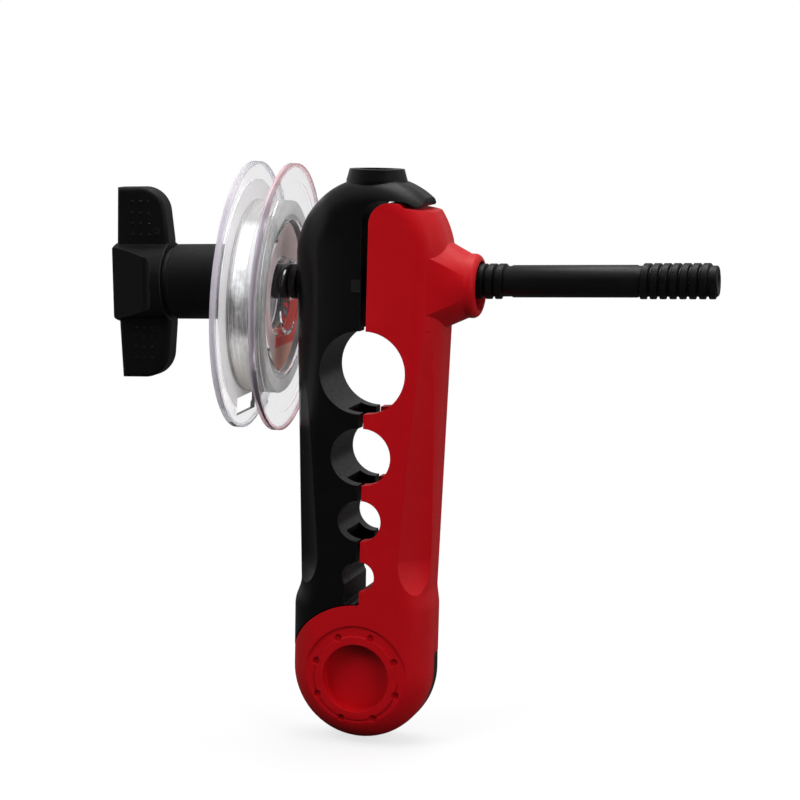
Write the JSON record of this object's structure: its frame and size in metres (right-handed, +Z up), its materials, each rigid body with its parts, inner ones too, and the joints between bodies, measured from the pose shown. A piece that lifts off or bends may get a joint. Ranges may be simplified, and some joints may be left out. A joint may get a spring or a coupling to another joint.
{
  "type": "fishing line winder",
  "caption": "Clamp-on fishing line winder: two hinged jaws with graded rod bores, a threaded spindle, a clear line spool and a wing knob with a tension sleeve.",
  "frame": {"origin": "centre of the smallest rod bore, at half the depth of the jaws", "axes": "+X along the spindle towards its free end (the spindle rises 2.2 degrees), +Y along the rod bores away from the hinge's dished face, +Z up from the hinge to the top socket"},
  "size_m": [0.1744, 0.0766, 0.1624],
  "materials": {
    "black_moulding": "satin moulded plastic",
    "red_moulding": "semi-matte moulded plastic",
    "steel": "plain steel",
    "brass": "plain brass",
    "spring_steel": "drawn spring wire",
    "spindle_plastic": "satin moulded plastic",
    "knob_plastic": "matte moulded plastic",
    "washer_plastic": "low-friction plastic",
    "clear_plastic": "clear polystyrene",
    "line": "clear monofilament, wound",
    "label": "plain bare label"
  },
  "bodies": {
    "handle": {"black_jaw": "black_moulding", "hinge_screw": "steel", "hinge_bush": "steel", "hinge_spring": "spring_steel"},
    "front_jaw": {"red_jaw": "red_moulding", "hinge_insert": "brass"},
    "spindle": {"spindle": "spindle_plastic"},
    "spool": {"spool_left_half": "clear_plastic", "spool_right_half": "clear_plastic", "line_core": "line", "line_winding": "line", "spool_label": "label"},
    "sleeve": {"thrust_sleeve": "knob_plastic", "thrust_washer": "washer_plastic", "tension_spring": "spring_steel"},
    "knob": {"wing_knob": "knob_plastic"}
  },
  "joints": [
    {"name": "jaw_hinge", "type": "hinge", "parent": "handle", "child": "front_jaw", "pos_m": [0, 0, -0.029], "axis": [0, 1, 0], "range_deg": [-0.6, 0.8], "stiffness_Nm_per_rad": 1.5, "springref_deg": -17.19},
    {"name": "spindle_travel", "type": "slide", "parent": "handle", "child": "spindle", "axis": [-0.9993, 0, -0.0384], "range_m": [-0.002, 0.034]},
    {"name": "spool_spin", "type": "hinge", "parent": "spindle", "child": "spool", "pos_m": [-0.0304, 0, 0.07703], "axis": [0.9977, 0.0575, -0.0349], "continuous": true},
    {"name": "sleeve_travel", "type": "slide", "parent": "spindle", "child": "sleeve", "axis": [-0.9993, 0, -0.0384], "range_m": [0, 0.008]},
    {"name": "knob_turn", "type": "hinge", "parent": "sleeve", "child": "knob", "pos_m": [-0.06795, 0, 0.07959], "axis": [-0.9993, 0, -0.0384], "range_deg": [0, 1067]}
  ],
  "couplings": [
    {"joint": "knob_turn", "follows": "sleeve_travel", "rad_per_m": 2327.1}
  ]
}
